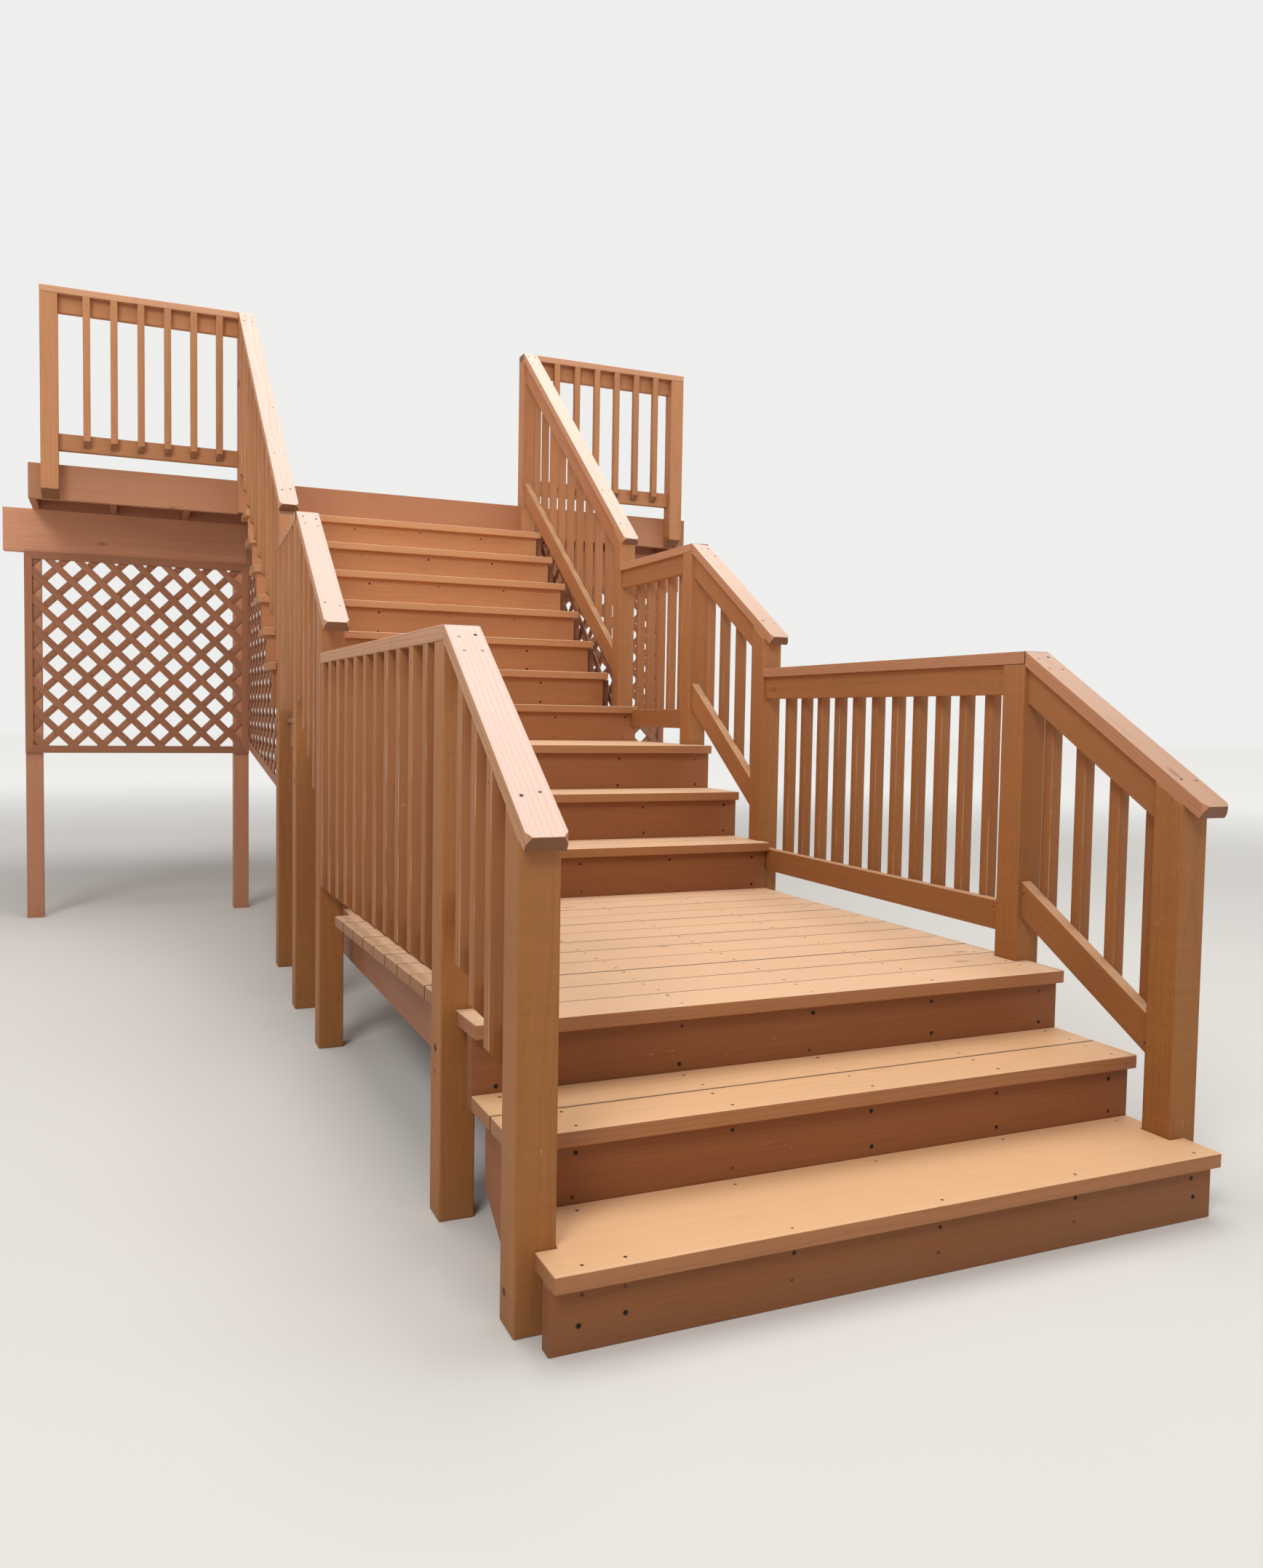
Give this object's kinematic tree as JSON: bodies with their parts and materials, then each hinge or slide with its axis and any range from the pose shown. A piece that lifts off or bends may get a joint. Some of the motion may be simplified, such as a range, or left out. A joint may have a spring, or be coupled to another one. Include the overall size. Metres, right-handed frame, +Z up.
{
  "type": "deck stairs",
  "caption": "Straight wooden deck stairs with landings between the flights, capped baluster guards on both sides, a raised porch deck at the top and lattice skirts below it.",
  "frame": {"origin": "on the ground under the middle of the first riser, halfway through its thickness", "axes": "+X to the right as one goes up, +Y up the stairs towards the porch, +Z up"},
  "size_m": [4.47, 7.36, 3.627],
  "materials": {
    "tread_stain": "worn cedar stain on boards that are walked on or leaned on",
    "board_stain": "matt cedar stain on upright boards, posts and balusters",
    "frame_stain": "stained framing lumber"
  },
  "bodies": {
    "root": {"stringers_lower": "frame_stain", "treads_lower": "tread_stain", "risers_lower": "board_stain", "landing_long_boards": "tread_stain", "landing_long_frame": "board_stain", "stringers_middle": "frame_stain", "treads_middle": "tread_stain", "risers_middle": "board_stain", "landing_short_boards": "tread_stain", "landing_short_frame": "board_stain", "stringers_upper": "frame_stain", "treads_upper": "tread_stain", "risers_upper": "board_stain", "porch_boards": "tread_stain", "porch_rim": "board_stain", "porch_joists": "frame_stain", "porch_ledger": "frame_stain", "porch_beam": "board_stain", "porch_legs": "board_stain", "posts_left": "board_stain", "posts_right": "board_stain", "porch_posts": "board_stain", "guard_lower_left": "board_stain", "guard_long_left": "board_stain", "guard_middle_left": "board_stain", "guard_short_left": "board_stain", "guard_upper_left": "board_stain", "guard_lower_right": "board_stain", "guard_long_right": "board_stain", "guard_middle_right": "board_stain", "guard_short_right": "board_stain", "guard_upper_right": "board_stain", "guard_porch_left": "board_stain", "guard_porch_right": "board_stain", "caps_left": "tread_stain", "caps_right": "tread_stain", "porch_caps": "tread_stain", "lattice_front_left": "board_stain", "lattice_front_right": "board_stain", "lattice_side_left": "board_stain", "lattice_side_right": "board_stain"}
  },
  "joints": []
}
